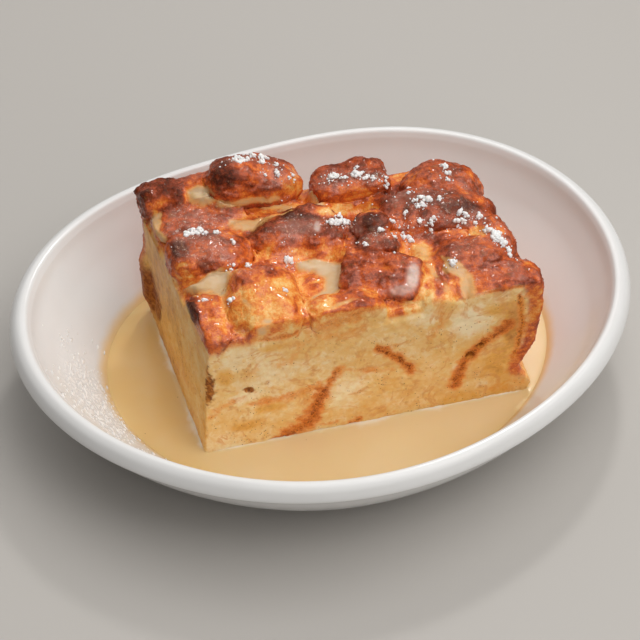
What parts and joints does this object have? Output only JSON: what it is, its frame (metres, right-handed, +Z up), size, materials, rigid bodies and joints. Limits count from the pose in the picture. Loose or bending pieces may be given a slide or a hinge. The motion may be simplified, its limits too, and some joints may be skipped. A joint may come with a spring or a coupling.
{
  "type": "bread pudding",
  "caption": "Cut slab of bread pudding with a glossy browned top and sugar clumps, standing in custard sauce in a shallow oval porcelain dish.",
  "frame": {"origin": "middle of the dish's outline, on the surface that the dish stands on", "axes": "+X along the slab's long cut face and the dish's length, -Y the side of that face, +Z up"},
  "size_m": [0.2018, 0.161, 0.0712],
  "materials": {
    "porcelain": "glossy glazed porcelain, warm white",
    "custard": "smooth glossy custard sauce, pale orange cream",
    "pudding": "baked custard and bread, creamy yellow where cut, glossy orange and dark brown on top"
  },
  "bodies": {
    "root": {"dish": "porcelain", "custard": "custard", "pudding": "pudding"}
  },
  "joints": []
}
